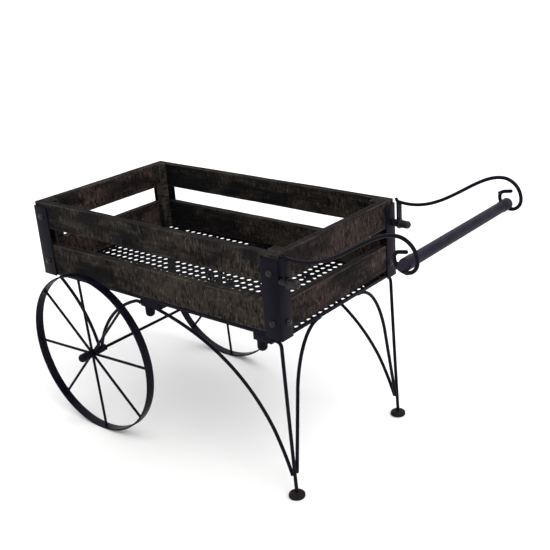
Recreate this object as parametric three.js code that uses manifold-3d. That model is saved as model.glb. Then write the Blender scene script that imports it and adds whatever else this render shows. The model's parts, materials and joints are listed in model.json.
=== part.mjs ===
// A push vending cart: an open wooden crate on an iron frame, with two spoked wheels under its
// front end, two splayed-foot legs under its rear end, and a push handle with scrolled arms.
// Units are millimetres and +Z is up. The front (-X) is the wheel end, the rear (+X) is the handle
// end, and left (-Y) is the left hand of a person who pushes. The origin is the centre of the
// whole cart's footprint, on the ground.
import * as THREE from "three";
import { mergeVertices } from "three/addons/utils/BufferGeometryUtils.js";
import Module from "manifold-3d";

// Driving dimensions of the crate.
const crateLength = 800; // over the corner irons
const crateWidth = 446; // over the corner irons
const undersideHeight = 392; // underside of the corner irons above the ground
const crateTop = 588;
const plankThickness = 18;
const upperPlankHeight = 68;
const lowerPlankTop = 478;
const rearSlit = 9; // open under the lower rear plank, where the others rest on the floor frame
const postAlong = 22;
const postAcross = 26;
const ironThickness = 2.5;
const ironSideLeg = 47;
const ironEndLeg = 38;
const ironTop = 577;
const fit = 0.3; // gap kept between pieces that touch

// Driving dimensions of the floor.
const frameBottom = 394.5;
const frameTop = 402.5;
const frameFlange = 13;
const floorThickness = 1.5;

// Driving dimensions of the wheels.
const wheelRadius = 213;
const wheelX = -223; // measured from the middle of the crate
const wheelMidY = 247;
const rimWidth = 22;
const rimThickness = 4;
const spokeCount = 8;
const spokeRadius = 3;
const spokeTurn = 3; // degrees
const hubRadius = 10;
const hubInnerY = 231;
const hubOuterY = 262;
const axleRadius = 4;
const axleNutRadius = 11;
const axleNutEnd = 289;
const runningGap = 0.3;

// Driving dimensions of the undercarriage.
const rodRadius = 3.75;
const legTop = { x: 389, y: 215, z: 371 };
const foot = { x: 403, y: 214.5, radius: 19, height: 11 };
const hangerY = 218;
const bracketSize = { outer: 220, bottom: 377, wall: 3 };
const hangerBracket = { front: -42, rear: 20, inner: 165, knobX: -28 };
const legBracket = { front: 314, rear: 366, inner: 188, knobX: 326 };
const knob = { radius: 11.5, length: 30, flange: 13, y: 205 };
const sleeve = { radius: 9, innerY: 212, outerY: 229 };

// Driving dimensions of the handle.
const armY = 214;
const armRadius = 3.5;
const strap = { x: 416, thickness: 3, width: 20, bottom: 515, top: 583, boltHeight: 529 };
const handleNut = { radius: 9.5, length: 29 };
const grip = { x: 697, z: 621, radius: 12, ferruleRadius: 13, ferruleLength: 28 };

// The middle of the whole cart lies this far behind the middle of the crate.
const cartMiddleX = 147.2;

const wasm = await Module();
wasm.setup();

const blackIron = new THREE.MeshStandardMaterial({ color: 0x26242c, roughness: 0.5, metalness: 0.6 });
const agedWood = new THREE.MeshStandardMaterial({ color: 0x4a4038, roughness: 0.9, metalness: 0 });
const darkGrip = new THREE.MeshStandardMaterial({ color: 0x35323e, roughness: 0.6, metalness: 0.2 });
const rubber = new THREE.MeshStandardMaterial({ color: 0x17161a, roughness: 0.85, metalness: 0 });

const cart = new THREE.Group();
cart.position.x = -cartMiddleX;

function addMesh(name, geometry, material) {
  const mesh = new THREE.Mesh(geometry, material);
  mesh.name = name;
  cart.add(mesh);
  return mesh;
}

// A closed geometry as a manifold solid, and back.
function solidOf(geometry) {
  const bare = geometry.clone();
  bare.deleteAttribute("normal");
  bare.deleteAttribute("uv");
  const merged = mergeVertices(bare, 1e-4);
  return new wasm.Manifold(
    new wasm.Mesh({
      numProp: 3,
      vertProperties: new Float32Array(merged.attributes.position.array),
      triVerts: new Uint32Array(merged.index.array),
    }),
  );
}

function geometryOf(solid) {
  const mesh = solid.getMesh();
  const geometry = new THREE.BufferGeometry();
  geometry.setAttribute("position", new THREE.BufferAttribute(mesh.vertProperties, 3));
  geometry.setIndex(new THREE.BufferAttribute(mesh.triVerts, 1));
  geometry.computeVertexNormals();
  return geometry;
}

function joined(geometries) {
  const solids = geometries.map(solidOf);
  return geometryOf(solids.reduce((whole, next) => whole.add(next)));
}

function cut(geometry, cutters) {
  return geometryOf(cutters.map(solidOf).reduce((whole, next) => whole.subtract(next), solidOf(geometry)));
}

// A box between two corners.
function block(x0, x1, y0, y1, z0, z1) {
  const geometry = new THREE.BoxGeometry(x1 - x0, Math.abs(y1 - y0), z1 - z0);
  geometry.translate((x0 + x1) / 2, (y0 + y1) / 2, (z0 + z1) / 2);
  return geometry;
}

// A plain round bar along +Y between two places.
function barAlongY(radius, x, z, y0, y1, sides) {
  const geometry = new THREE.CylinderGeometry(radius, radius, Math.abs(y1 - y0), sides);
  geometry.translate(x, (y0 + y1) / 2, z);
  return geometry;
}

// A turned piece: a profile of [radius, distance] pairs about an axis that leaves `from`.
function turned(profile, from, axis, sides) {
  const points = profile.map(([radius, distance]) => new THREE.Vector2(radius, distance));
  const geometry = new THREE.LatheGeometry(points, sides);
  const turn = new THREE.Quaternion().setFromUnitVectors(new THREE.Vector3(0, 1, 0), axis);
  geometry.applyQuaternion(turn);
  geometry.translate(from.x, from.y, from.z);
  return geometry;
}

// A flat path drawn in two dimensions and placed in space by a function of its two coordinates.
class PlacedPath extends THREE.Curve {
  constructor(path, place) {
    super();
    this.path = path;
    this.place = place;
  }
  getPoint(t) {
    const point = this.path.getPoint(t);
    return this.place(point.x, point.y);
  }
}

// A round rod bent along a curve.
function rod(curve, radius, steps, sides = 8) {
  const section = new THREE.Shape();
  for (let i = 0; i < sides; i++) {
    const angle = (2 * Math.PI * i) / sides;
    const x = radius * Math.cos(angle);
    const y = radius * Math.sin(angle);
    if (i === 0) section.moveTo(x, y);
    else section.lineTo(x, y);
  }
  section.closePath();
  return new THREE.ExtrudeGeometry(section, { steps, extrudePath: curve, bevelEnabled: false });
}

function straightRod(start, end, radius, sides = 8) {
  return rod(new THREE.LineCurve3(start, end), radius, 1, sides);
}

// A folded bracket that hangs under the long rail: a shallow box, open on the side that faces in.
function foldedBracket({ front, rear, inner }, sy) {
  const { outer, bottom, wall } = bracketSize;
  const top = frameBottom - fit;
  const body = block(front, rear, sy * inner, sy * outer, bottom, top);
  const hollow = block(
    front + wall,
    rear - wall,
    sy * (inner - 1),
    sy * (outer - wall),
    bottom + wall,
    top - wall,
  );
  return cut(body, [hollow]);
}

// A dome nut on a round flange: distances are counted from the face that it sits on.
function domeNutProfile(radius, length, flangeRadius) {
  const flange = 2;
  const dome = radius * 0.8;
  const profile = [[0, 0], [flangeRadius, 0], [flangeRadius, flange], [radius, flange + 0.5]];
  const arcSteps = 4;
  for (let i = 0; i < arcSteps; i++) {
    const angle = (i / arcSteps) * (Math.PI / 2);
    profile.push([radius * Math.cos(angle), length - dome + dome * Math.sin(angle)]);
  }
  profile.push([0, length]);
  return profile;
}

const halfLength = crateLength / 2;
const halfWidth = crateWidth / 2;
const plankOuterX = halfLength - ironThickness - fit;
const plankOuterY = halfWidth - ironThickness - fit;
const plankInnerX = plankOuterX - plankThickness;
const plankInnerY = plankOuterY - plankThickness;
const sides = [["left", -1], ["right", 1]];
const ends = [["front", -1], ["rear", 1]];
const levels = [["lower", frameTop + fit, lowerPlankTop], ["upper", crateTop - upperPlankHeight, crateTop]];

// The eight planks: the side planks run the full length, the end planks fit between them.
for (const [level, bottom, top] of levels) {
  for (const [side, sy] of sides) {
    const plank = block(-plankOuterX, plankOuterX, plankInnerY, plankOuterY, bottom, top);
    plank.translate(0, sy < 0 ? -(plankInnerY + plankOuterY) : 0, 0);
    addMesh(`side_plank_${level}_${side}`, plank, agedWood);
  }
  for (const [end, sx] of ends) {
    const reach = plankInnerY - fit;
    const raised = level === "lower" && end === "rear" ? rearSlit : 0;
    const plank = block(plankInnerX, plankOuterX, -reach, reach, bottom + raised, top);
    plank.translate(sx < 0 ? -(plankInnerX + plankOuterX) : 0, 0, 0);
    addMesh(`end_plank_${level}_${end}`, plank, agedWood);
  }
}

// The floor: a ring of small angle iron with a thin metal sheet lying in it.
const frameOuterX = plankOuterX;
const frameOuterY = plankOuterY;
const ringOuter = block(-frameOuterX, frameOuterX, -frameOuterY, frameOuterY, frameBottom, frameTop);
const pocketX = frameOuterX - ironThickness;
const pocketY = frameOuterY - ironThickness;
const flangeTop = frameBottom + ironThickness;
const pocket = block(-pocketX, pocketX, -pocketY, pocketY, flangeTop, frameTop + 1);
const windowX = frameOuterX - frameFlange;
const windowY = frameOuterY - frameFlange;
const frameWindow = block(-windowX, windowX, -windowY, windowY, frameBottom - 1, flangeTop + 1);
addMesh("floor_frame", cut(ringOuter, [pocket, frameWindow]), blackIron);

// The sheet is notched at its corners, where the posts stand on the ring.
const sheetX = pocketX - fit;
const sheetY = pocketY - fit;
const sheetBottom = flangeTop + fit;
const sheetTop = sheetBottom + floorThickness;
const notchX = plankInnerX - postAlong - 2 * fit;
const notchY = plankInnerY - postAcross - 2 * fit;
const sheet = block(-sheetX, sheetX, -sheetY, sheetY, sheetBottom, sheetTop);
const notches = [];
for (const [, sx] of ends) {
  for (const [, sy] of sides) {
    const notch = block(notchX, halfLength, notchY, halfWidth, sheetBottom - 1, sheetTop + 1);
    notch.translate(sx < 0 ? -(notchX + halfLength) : 0, sy < 0 ? -(notchY + halfWidth) : 0, 0);
    notches.push(notch);
  }
}
addMesh("floor_mesh", cut(sheet, notches), blackIron);

// At each corner a wooden post stands inside and an iron angle wraps the outside.
for (const [end, sx] of ends) {
  for (const [side, sy] of sides) {
    const postX = sx * (plankInnerX - fit - postAlong / 2);
    const postY = sy * (plankInnerY - fit - postAcross / 2);
    const postBottom = flangeTop + fit;
    const post = new THREE.BoxGeometry(postAlong, postAcross, crateTop - postBottom);
    post.translate(postX, postY, (crateTop + postBottom) / 2);
    addMesh(`corner_post_${end}_${side}`, post, agedWood);

    const outline = new THREE.Shape();
    outline.moveTo(sx * halfLength, sy * halfWidth);
    outline.lineTo(sx * (halfLength - ironSideLeg), sy * halfWidth);
    outline.lineTo(sx * (halfLength - ironSideLeg), sy * (halfWidth - ironThickness));
    outline.lineTo(sx * (halfLength - ironThickness), sy * (halfWidth - ironThickness));
    outline.lineTo(sx * (halfLength - ironThickness), sy * (halfWidth - ironEndLeg));
    outline.lineTo(sx * halfLength, sy * (halfWidth - ironEndLeg));
    outline.closePath();
    const iron = new THREE.ExtrudeGeometry(outline, {
      depth: ironTop - undersideHeight,
      bevelEnabled: false,
    });
    iron.translate(0, 0, undersideHeight);
    addMesh(`corner_iron_${end}_${side}`, iron, blackIron);
  }
}

// Dome-headed bolts through the corner irons.
const boltInset = 24;
const upperBoltHeight = { front: 551, rear: 544 };
const lowerBoltHeight = 430;
const boltProfile = [[0, 0], [7.5, 0], [7.5, 1.2], [6.2, 1.4], [5.4, 3.6], [3.1, 5.2], [0, 5.6]];
const boltSides = 10;

function addBolt(name, x, y, z, axis) {
  addMesh(name, turned(boltProfile, new THREE.Vector3(x, y, z), axis, boltSides), blackIron);
}

for (const [end, sx] of ends) {
  for (const [side, sy] of sides) {
    const sideAxis = new THREE.Vector3(0, sy, 0);
    const endAxis = new THREE.Vector3(sx, 0, 0);
    const boltX = sx * (halfLength - boltInset);
    const boltY = sy * (halfWidth - boltInset);
    const faceX = sx * (halfLength + fit);
    const faceY = sy * (halfWidth + fit);
    addBolt(`bolt_side_upper_${end}_${side}`, boltX, faceY, upperBoltHeight[end], sideAxis);
    addBolt(`bolt_side_lower_${end}_${side}`, boltX, faceY, lowerBoltHeight, sideAxis);
    addBolt(`bolt_end_lower_${end}_${side}`, faceX, boltY, lowerBoltHeight, endAxis);
    if (end === "rear") continue; // the handle bolt takes this place
    addBolt(`bolt_end_upper_${end}_${side}`, faceX, boltY, upperBoltHeight[end], endAxis);
  }
}

// The axle runs right across, through the sleeves of the two hangers and the two hubs.
const axleZ = wheelRadius;
const axleHalf = hubOuterY + 0.5;
addMesh("axle", barAlongY(axleRadius, wheelX, axleZ, -axleHalf, axleHalf, 16), blackIron);

for (const [side, sy] of sides) {
  const outward = new THREE.Vector3(0, sy, 0);

  // Rim: a flat iron band bent into a ring.
  const ring = new THREE.Shape();
  ring.absarc(0, 0, wheelRadius, 0, 2 * Math.PI, false);
  const bore = new THREE.Path();
  bore.absarc(0, 0, wheelRadius - rimThickness, 0, 2 * Math.PI, true);
  ring.holes.push(bore);
  const rim = new THREE.ExtrudeGeometry(ring, { depth: rimWidth, bevelEnabled: false, curveSegments: 32 });
  rim.rotateX(Math.PI / 2);
  rim.translate(wheelX, sy * wheelMidY + rimWidth / 2, axleZ);
  addMesh(`wheel_rim_${side}`, rim, blackIron);

  // Spokes: straight round bars welded to a short hub tube.
  const hub = barAlongY(hubRadius, wheelX, axleZ, sy * hubInnerY, sy * hubOuterY, 20);
  const boreRadius = axleRadius + runningGap;
  const hubBore = barAlongY(boreRadius, wheelX, axleZ, sy * (hubInnerY - 2), sy * (hubOuterY + 2), 20);
  const spokes = [];
  for (let i = 0; i < spokeCount; i++) {
    const angle = THREE.MathUtils.degToRad(spokeTurn + (360 / spokeCount) * i);
    const direction = new THREE.Vector3(Math.cos(angle), 0, Math.sin(angle));
    const centre = new THREE.Vector3(wheelX, sy * wheelMidY, axleZ);
    const inner = centre.clone().addScaledVector(direction, hubRadius - 3);
    const outer = centre.clone().addScaledVector(direction, wheelRadius - rimThickness - 0.8);
    spokes.push(straightRod(inner, outer, spokeRadius));
  }
  addMesh(`wheel_spokes_${side}`, cut(joined([hub, ...spokes]), [hubBore]), blackIron);

  // Dome nut on the axle's end.
  const nutFace = hubOuterY + 1;
  const nutProfile = domeNutProfile(axleNutRadius, axleNutEnd - nutFace, axleNutRadius + 1);
  const nutPlace = new THREE.Vector3(wheelX, sy * nutFace, axleZ);
  addMesh(`axle_nut_${side}`, turned(nutProfile, nutPlace, outward, 12), blackIron);

  // Hanger: a folded bracket, a curved rod down to the axle, and the sleeve that the axle runs in.
  const bracketMidZ = (bracketSize.bottom + frameBottom) / 2;
  const hangerPath = new THREE.Path();
  hangerPath.moveTo(wheelX + 5, axleZ + 6);
  hangerPath.bezierCurveTo(wheelX + 14, 262, -165, 345, -66, bracketMidZ - 3);
  hangerPath.quadraticCurveTo(-60, bracketMidZ, -52, bracketMidZ);
  hangerPath.lineTo(hangerBracket.front + 1.5, bracketMidZ);
  const atHanger = (x, z) => new THREE.Vector3(x, sy * hangerY, z);
  const hangerRod = rod(new PlacedPath(hangerPath, atHanger), rodRadius, 24);
  const { innerY, outerY } = sleeve;
  const sleeveTube = barAlongY(sleeve.radius, wheelX, axleZ, sy * innerY, sy * outerY, 16);
  const sleeveBore = barAlongY(boreRadius, wheelX, axleZ, sy * (innerY - 2), sy * (outerY + 2), 16);
  const hangerFold = foldedBracket(hangerBracket, sy);
  const hanger = cut(joined([hangerFold, hangerRod, sleeveTube]), [sleeveBore]);
  addMesh(`axle_hanger_${side}`, hanger, blackIron);

  // Stay: a curved rod from the crate's front lower corner back to the sleeve.
  const stayPath = new THREE.Path();
  stayPath.moveTo(-344, frameBottom - fit - rodRadius);
  stayPath.bezierCurveTo(-296, 350, -256, 310, wheelX - 7, axleZ + 10);
  const stay = rod(new PlacedPath(stayPath, atHanger), rodRadius, 16);
  addMesh(`axle_stay_${side}`, stay, blackIron);

  const underBracket = bracketSize.bottom - fit;
  const knobProfile = domeNutProfile(knob.radius, knob.length, knob.flange);
  const down = new THREE.Vector3(0, 0, -1);
  const hangerKnob = new THREE.Vector3(hangerBracket.knobX, sy * knob.y, underBracket);
  addMesh(`hanger_nut_${side}`, turned(knobProfile, hangerKnob, down, 12), blackIron);

  // The x of the leg's axis at a height, which both braces close in on.
  const legDrop = legTop.z - foot.height;
  const legXAt = (z) => legTop.x + ((foot.x - legTop.x) * (legTop.z - z)) / legDrop;
  const legYAt = (z) => legTop.y + ((foot.y - legTop.y) * (legTop.z - z)) / legDrop;

  // Leg: a shorter bracket of the same kind, and a rod that leaves its end, turns down and runs
  // nearly upright to the foot.
  const legFold = foldedBracket(legBracket, sy);
  const legPath = new THREE.Path();
  const bend = 14;
  legPath.moveTo(legBracket.rear - 1.5, bracketMidZ);
  legPath.lineTo(legTop.x - bend, bracketMidZ);
  legPath.quadraticCurveTo(legXAt(bracketMidZ), bracketMidZ, legXAt(legTop.z), legTop.z);
  legPath.lineTo(foot.x, foot.height + fit);
  const atLeg = (x, z) => new THREE.Vector3(x, sy * legYAt(z), z);
  const legRod = rod(new PlacedPath(legPath, atLeg), rodRadius, 30);
  addMesh(`leg_${side}`, joined([legFold, legRod]), blackIron);
  const legKnob = new THREE.Vector3(legBracket.knobX, sy * knob.y, underBracket);
  addMesh(`leg_nut_${side}`, turned(knobProfile, legKnob, down, 12), blackIron);

  // Foot: a thick round disc with a rounded upper edge.
  const { radius, height } = foot;
  const footProfile = [[0, 0], [radius, 0], [radius, height - 4], [radius - 1.2, height - 1.4]];
  footProfile.push([radius - 4, height], [0, height]);
  const up = new THREE.Vector3(0, 0, 1);
  addMesh(`foot_${side}`, turned(footProfile, new THREE.Vector3(foot.x, sy * foot.y, 0), up, 24), rubber);

  const legClear = 2 * rodRadius + 0.6;

  // End brace: from under the end rail, bending down to the foot of the leg.
  const braceTop = frameBottom - fit - rodRadius;
  const endPath = new THREE.Path();
  endPath.moveTo(75, braceTop);
  endPath.bezierCurveTo(125, 392, 160, 335, 175, 262);
  endPath.lineTo(foot.y - legClear + 0.3, 60);
  const atEnd = (y, z) => new THREE.Vector3(legXAt(z), sy * y, z);
  addMesh(`end_brace_${side}`, rod(new PlacedPath(endPath, atEnd), rodRadius, 18), blackIron);

  // Side brace: from under the hanger bracket, sweeping down to the foot of the leg.
  const sidePath = new THREE.Path();
  sidePath.moveTo(-8, underBracket - rodRadius);
  sidePath.bezierCurveTo(150, 346, 272, 284, 348, 158);
  sidePath.quadraticCurveTo(374, 110, legXAt(54) - legClear, 54);
  const atSide = (x, z) => new THREE.Vector3(x, sy * (206 + (8 * (x + 8)) / 400), z);
  addMesh(`side_brace_${side}`, rod(new PlacedPath(sidePath, atSide), rodRadius, 24), blackIron);

  // Handle arm: a rod that rises in a slow S and rolls up into a scroll of quarter rounds, with a
  // flat strap at its foot that the handle bolt passes through.
  const armPath = new THREE.Path();
  armPath.moveTo(410, 590);
  armPath.quadraticCurveTo(412, 583, 419, 583);
  armPath.bezierCurveTo(535, 566, 612, 676, 683, 676);
  armPath.absarc(683, 632, 44, Math.PI / 2, 0, true);
  armPath.absarc(703, 632, 24, 0, -Math.PI / 2, true);
  armPath.absarc(703, 634, 26, -Math.PI / 2, -Math.PI, true);
  armPath.bezierCurveTo(677.5, 641, 689, 642, 704, 649);
  const atArm = (x, z) => new THREE.Vector3(x, sy * armY, z);
  const armRod = rod(new PlacedPath(armPath, atArm), armRadius, 56);
  const strapY = strap.width / 2;
  const strapPlate = block(
    strap.x,
    strap.x + strap.thickness,
    sy * armY - strapY,
    sy * armY + strapY,
    strap.bottom,
    strap.top,
  );
  const holeRadius = 4.3;
  const strapHole = new THREE.CylinderGeometry(holeRadius, holeRadius, 12, 12);
  strapHole.rotateZ(Math.PI / 2);
  strapHole.translate(strap.x, sy * armY, strap.boltHeight);
  addMesh(`handle_arm_${side}`, cut(joined([armRod, strapPlate]), [strapHole]), blackIron);

  // Handle bolt: a spacer against the corner iron, a neck through the strap and a dome nut.
  const seat = strap.x - fit - (halfLength + fit);
  const neckEnd = seat + strap.thickness + 2 * fit;
  const nutEnd = neckEnd + handleNut.length;
  const handleBolt = [[0, 0], [9, 0], [9, seat], [4, seat], [4, neckEnd], [12, neckEnd]];
  handleBolt.push([12, neckEnd + 2.5], [handleNut.radius, neckEnd + 3], [handleNut.radius, nutEnd - 8]);
  handleBolt.push([8, nutEnd - 3.5], [4.5, nutEnd - 0.8], [0, nutEnd]);
  const boltPlace = new THREE.Vector3(halfLength + fit, sy * armY, strap.boltHeight);
  addMesh(`handle_bolt_${side}`, turned(handleBolt, boltPlace, new THREE.Vector3(1, 0, 0), 12), blackIron);
}

// The grip bar, with a ferrule on each end, lies between the two scrolls.
const gripHalf = armY - armRadius - fit;
const gripProfile = [
  [0, -gripHalf],
  [grip.ferruleRadius, -gripHalf],
  [grip.ferruleRadius, -gripHalf + grip.ferruleLength],
  [grip.radius, -gripHalf + grip.ferruleLength + 1],
  [grip.radius, gripHalf - grip.ferruleLength - 1],
  [grip.ferruleRadius, gripHalf - grip.ferruleLength],
  [grip.ferruleRadius, gripHalf],
  [0, gripHalf],
];
const gripPlace = new THREE.Vector3(grip.x, 0, grip.z);
addMesh("handle_grip", turned(gripProfile, gripPlace, new THREE.Vector3(0, 1, 0), 24), darkGrip);

export default cart;
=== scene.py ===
"""The looks of a small push vending cart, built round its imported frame.

Weathered boards, forged iron rods, spoked wheels, a perforated floor and a scrolled push handle.
Every piece replaces one CAD node and rides on that node's body. Lengths are in metres.
"""

import json
import math
import random

import bmesh
import bpy
from mathutils import Matrix, Vector, noise

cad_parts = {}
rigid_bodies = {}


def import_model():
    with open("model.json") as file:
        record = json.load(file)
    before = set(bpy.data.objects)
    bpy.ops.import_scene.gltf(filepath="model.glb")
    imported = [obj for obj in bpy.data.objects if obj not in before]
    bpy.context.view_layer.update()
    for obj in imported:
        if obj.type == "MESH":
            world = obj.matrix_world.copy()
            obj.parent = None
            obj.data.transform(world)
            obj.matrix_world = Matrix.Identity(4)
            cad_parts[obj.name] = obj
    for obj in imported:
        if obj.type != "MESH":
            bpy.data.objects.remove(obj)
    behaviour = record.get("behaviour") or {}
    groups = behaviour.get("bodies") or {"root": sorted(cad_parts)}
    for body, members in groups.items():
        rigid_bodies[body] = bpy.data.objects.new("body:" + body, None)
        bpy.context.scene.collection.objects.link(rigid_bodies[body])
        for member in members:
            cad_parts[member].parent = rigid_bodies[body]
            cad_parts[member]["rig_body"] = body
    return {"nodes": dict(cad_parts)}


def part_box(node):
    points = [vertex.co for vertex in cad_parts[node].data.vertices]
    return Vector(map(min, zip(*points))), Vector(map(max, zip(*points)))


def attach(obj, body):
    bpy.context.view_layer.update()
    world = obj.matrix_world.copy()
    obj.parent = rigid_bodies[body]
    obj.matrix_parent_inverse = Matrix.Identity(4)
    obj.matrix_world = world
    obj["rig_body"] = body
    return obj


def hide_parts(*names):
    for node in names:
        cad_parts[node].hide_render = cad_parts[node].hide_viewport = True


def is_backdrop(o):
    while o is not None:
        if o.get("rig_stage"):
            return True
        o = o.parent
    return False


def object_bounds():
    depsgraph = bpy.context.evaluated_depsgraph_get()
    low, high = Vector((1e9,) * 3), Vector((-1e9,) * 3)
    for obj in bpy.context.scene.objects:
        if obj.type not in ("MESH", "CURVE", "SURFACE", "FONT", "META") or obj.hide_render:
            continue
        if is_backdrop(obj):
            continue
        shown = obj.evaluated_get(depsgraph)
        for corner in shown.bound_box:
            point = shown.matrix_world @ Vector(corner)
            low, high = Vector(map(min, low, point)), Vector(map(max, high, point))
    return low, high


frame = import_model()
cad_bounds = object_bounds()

MM = 0.001
SIDES = (("left", -1), ("right", 1))
ENDS = (("front", -1), ("rear", 1))
LEVELS = ("lower", "upper")

# The middle of the crate, which the bent rods are laid out from.
crate_low, crate_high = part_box("side_plank_upper_left")
CRATE_X = (crate_low.x + crate_high.x) / 2

# How much thicker than its bare metal a rod looks under its paint.
PAINT_BUILD = 0.5 * MM


# ---- shader helpers


def new_material(name):
    material = bpy.data.materials.new(name)
    material.use_nodes = True
    tree = material.node_tree
    return material, tree, tree.nodes["Principled BSDF"]


def texture_noise(tree, vector, scale, detail=4.0, roughness=0.55, distortion=0.0):
    node = tree.nodes.new("ShaderNodeTexNoise")
    node.inputs["Scale"].default_value = scale
    node.inputs["Detail"].default_value = detail
    node.inputs["Roughness"].default_value = roughness
    node.inputs["Distortion"].default_value = distortion
    tree.links.new(vector, node.inputs["Vector"])
    return node.outputs["Fac"]


def stretched_noise(tree, vector, scales, detail, roughness=0.55, distortion=0.0):
    """Noise with its own scale along each axis."""
    node = tree.nodes.new("ShaderNodeMapping")
    node.inputs["Scale"].default_value = scales
    tree.links.new(vector, node.inputs["Vector"])
    return texture_noise(tree, node.outputs["Vector"], 1.0, detail, roughness, distortion)


def ramp(tree, factor, low, high, low_value=0.0, high_value=1.0):
    """A smooth step of factor from low to high."""
    node = tree.nodes.new("ShaderNodeMapRange")
    node.interpolation_type = "SMOOTHSTEP"
    node.inputs["From Min"].default_value = low
    node.inputs["From Max"].default_value = high
    node.inputs["To Min"].default_value = low_value
    node.inputs["To Max"].default_value = high_value
    tree.links.new(factor, node.inputs["Value"])
    return node.outputs["Result"]


def maths(tree, operation, first, second):
    node = tree.nodes.new("ShaderNodeMath")
    node.operation = operation
    for socket, value in zip(node.inputs, (first, second)):
        if isinstance(value, (int, float)):
            socket.default_value = value
        else:
            tree.links.new(value, socket)
    return node.outputs["Value"]


def weighted(tree, first, first_share, second, second_share):
    """Two values added up, each in its share."""
    first = maths(tree, "MULTIPLY", first, first_share)
    return maths(tree, "ADD", first, maths(tree, "MULTIPLY", second, second_share))


def mixed(tree, factor, first, second):
    """A colour between first and second, each a colour or a socket."""
    node = tree.nodes.new("ShaderNodeMix")
    node.data_type = "RGBA"
    tree.links.new(factor, node.inputs["Factor"])
    for socket, value in ((node.inputs[6], first), (node.inputs[7], second)):
        if isinstance(value, tuple):
            socket.default_value = (*value, 1.0)
        else:
            tree.links.new(value, socket)
    return node.outputs[2]


def add_bump(tree, shader, height, distance, strength=1.0):
    node = tree.nodes.new("ShaderNodeBump")
    node.inputs["Distance"].default_value = distance
    node.inputs["Strength"].default_value = strength
    tree.links.new(height, node.inputs["Height"])
    tree.links.new(node.outputs["Normal"], shader.inputs["Normal"])


def attribute(tree, name, output):
    node = tree.nodes.new("ShaderNodeAttribute")
    node.attribute_name = name
    return node.outputs[output]


def object_coordinates(tree):
    return tree.nodes.new("ShaderNodeTexCoord").outputs["Object"]


# ---- materials


def aged_wood(name, dark, brown, pale):
    """Rough-sawn board, stained dark: fibres, drifts of tone, cross-cut saw marks, rubbed edges."""
    material, tree, shader = new_material(name)
    along = attribute(tree, "board", "Vector")
    wear = attribute(tree, "wear", "Fac")
    knot = attribute(tree, "knot", "Fac")
    painted_shade = attribute(tree, "painted_shade", "Fac")

    fibres = stretched_noise(tree, along, (14, 300, 300), 6.0, 0.62, 0.4)
    streaks = stretched_noise(tree, along, (6, 60, 60), 4.0, 0.55, 1.2)
    drift = stretched_noise(tree, along, (8, 18, 18), 3.0, 0.5, 0.6)
    saw = stretched_noise(tree, along, (240, 62, 62), 4.0, 0.62, 0.5)
    saw_patches = stretched_noise(tree, along, (14, 24, 24), 3.0, 0.55)
    scuffs = stretched_noise(tree, along, (170, 60, 60), 3.0, 0.6, 0.8)

    tone = weighted(tree, drift, 0.65, streaks, 0.35)
    # The shade attribute adds painted light and shade to the tone: paler or darker along each board, and
    # darker along its top.
    tone = maths(tree, "ADD", tone, painted_shade)
    colour = mixed(tree, ramp(tree, tone, 0.40, 0.64), dark, brown)
    colour = mixed(tree, ramp(tree, fibres, 0.52, 0.80, 0.0, 0.25), colour, pale)
    scuffed = maths(tree, "MULTIPLY", ramp(tree, scuffs, 0.53, 0.66), ramp(tree, tone, 0.42, 0.58))
    colour = mixed(tree, maths(tree, "MULTIPLY", scuffed, 0.5), colour, pale)
    marks = maths(tree, "MULTIPLY", ramp(tree, saw, 0.50, 0.59), ramp(tree, saw_patches, 0.34, 0.52))
    colour = mixed(tree, maths(tree, "MULTIPLY", marks, 0.9), colour, tuple(0.25 * c for c in dark))
    colour = mixed(tree, ramp(tree, knot, 0.15, 0.75, 0.0, 0.6), colour, tuple(0.3 * c for c in dark))
    rubbed = maths(tree, "MULTIPLY", wear, ramp(tree, streaks, 0.38, 0.62, 0.08, 0.55))
    colour = mixed(tree, rubbed, colour, pale)
    tree.links.new(colour, shader.inputs["Base Color"])
    tree.links.new(ramp(tree, streaks, 0.3, 0.7, 0.72, 0.92), shader.inputs["Roughness"])
    shader.inputs["Specular IOR Level"].default_value = 0.07

    height = weighted(tree, fibres, 0.5, streaks, 0.6)
    height = maths(tree, "SUBTRACT", height, maths(tree, "MULTIPLY", marks, 0.8))
    add_bump(tree, shader, height, 1.0 * MM, 0.9)
    return material


def painted_iron(name, colour, lit_colour, roughness, grain=1.0, specular=0.05):
    """Satin black paint over forged iron: soft hammer marks, brush texture, duller and barer patches."""
    material, tree, shader = new_material(name)
    place = object_coordinates(tree)
    clouds = texture_noise(tree, place, 22.0, 5.0, 0.6)
    specks = texture_noise(tree, place, 420.0, 3.0, 0.65)
    hammer = texture_noise(tree, place, 75.0 * grain, 2.0, 0.5)
    base = mixed(tree, ramp(tree, clouds, 0.35, 0.7), colour, lit_colour)
    bare = maths(tree, "MULTIPLY", ramp(tree, specks, 0.66, 0.74), ramp(tree, clouds, 0.50, 0.66))
    base = mixed(tree, maths(tree, "MULTIPLY", bare, 0.6), base, (0.045, 0.036, 0.032))
    tree.links.new(base, shader.inputs["Base Color"])
    duller = maths(tree, "ADD", ramp(tree, clouds, 0.3, 0.7, roughness - 0.08, roughness + 0.10), bare)
    tree.links.new(maths(tree, "MINIMUM", duller, 0.9), shader.inputs["Roughness"])
    shader.inputs["Specular IOR Level"].default_value = specular
    height = maths(tree, "ADD", hammer, maths(tree, "MULTIPLY", specks, 0.12))
    add_bump(tree, shader, height, 0.5 * MM, 0.35)
    return material


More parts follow.
